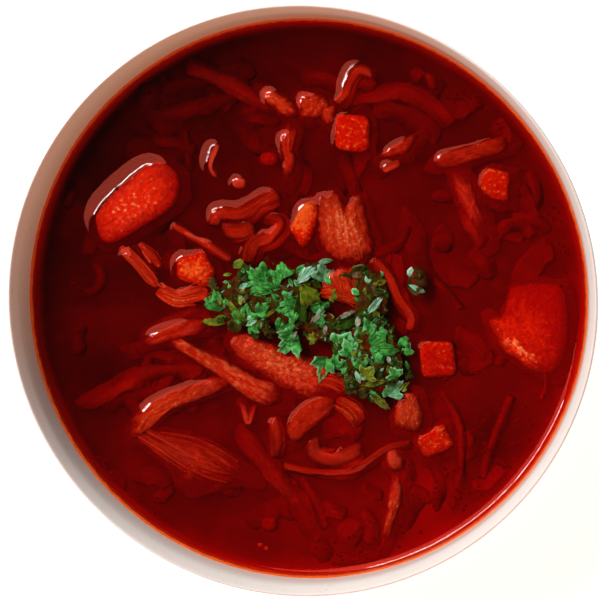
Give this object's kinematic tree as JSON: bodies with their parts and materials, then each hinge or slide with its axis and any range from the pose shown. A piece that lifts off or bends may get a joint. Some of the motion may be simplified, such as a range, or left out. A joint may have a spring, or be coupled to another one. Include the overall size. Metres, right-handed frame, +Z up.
{
  "type": "bowl of borscht",
  "caption": "Round glazed soup bowl filled with dark red borscht, with carrot, potato, shredded beef, cabbage and chopped parsley showing at the surface.",
  "frame": {"origin": "centre of the foot ring's underside, on the surface the bowl stands on", "axes": "+Z up through the bowl's axis; +X to the right and +Y away from a person who looks down on it as pictured"},
  "size_m": [0.18, 0.18, 0.06],
  "materials": {
    "glaze": "glossy off-white glaze",
    "broth": "wet, clear dark red liquid",
    "carrot": "wet cooked carrot stained red",
    "potato": "wet cooked potato stained orange red",
    "beef": "wet, fibrous cooked beef",
    "cabbage": "wet, half clear cooked cabbage",
    "onion": "wet, half clear cooked onion",
    "parsley": "fresh chopped leaves"
  },
  "bodies": {
    "root": {"bowl": "glaze", "broth": "broth", "carrot_top": "carrot", "carrot_centre": "carrot", "carrot_left": "carrot", "carrot_right_upper": "carrot", "carrot_right_middle": "carrot", "carrot_right_lower": "carrot", "potato_left": "potato", "potato_right": "potato", "beef_centre": "beef", "beef_middle": "beef", "beef_mound": "beef", "beef_small": "beef", "beef_crumb": "beef", "beef_fork": "beef", "beef_crook": "beef", "beef_flake": "beef", "beef_fibre": "beef", "cabbage_flat": "cabbage", "cabbage_left": "cabbage", "cabbage_wavy": "cabbage", "cabbage_wedge": "cabbage", "cabbage_curl": "cabbage", "cabbage_thread": "cabbage", "cabbage_rim": "cabbage", "cabbage_upright": "cabbage", "cabbage_arch": "cabbage", "cabbage_corner": "cabbage", "cabbage_thick": "cabbage", "cabbage_pale": "cabbage", "cabbage_fold": "cabbage", "cabbage_loop": "cabbage", "cabbage_thread_low": "cabbage", "cabbage_short": "cabbage", "cabbage_pale_low": "cabbage", "onion_drop": "onion", "onion_sliver": "onion", "onion_hook": "onion", "onion_bit": "onion", "onion_pale": "onion", "parsley_heap": "parsley", "parsley_sprig": "parsley"}
  },
  "joints": []
}
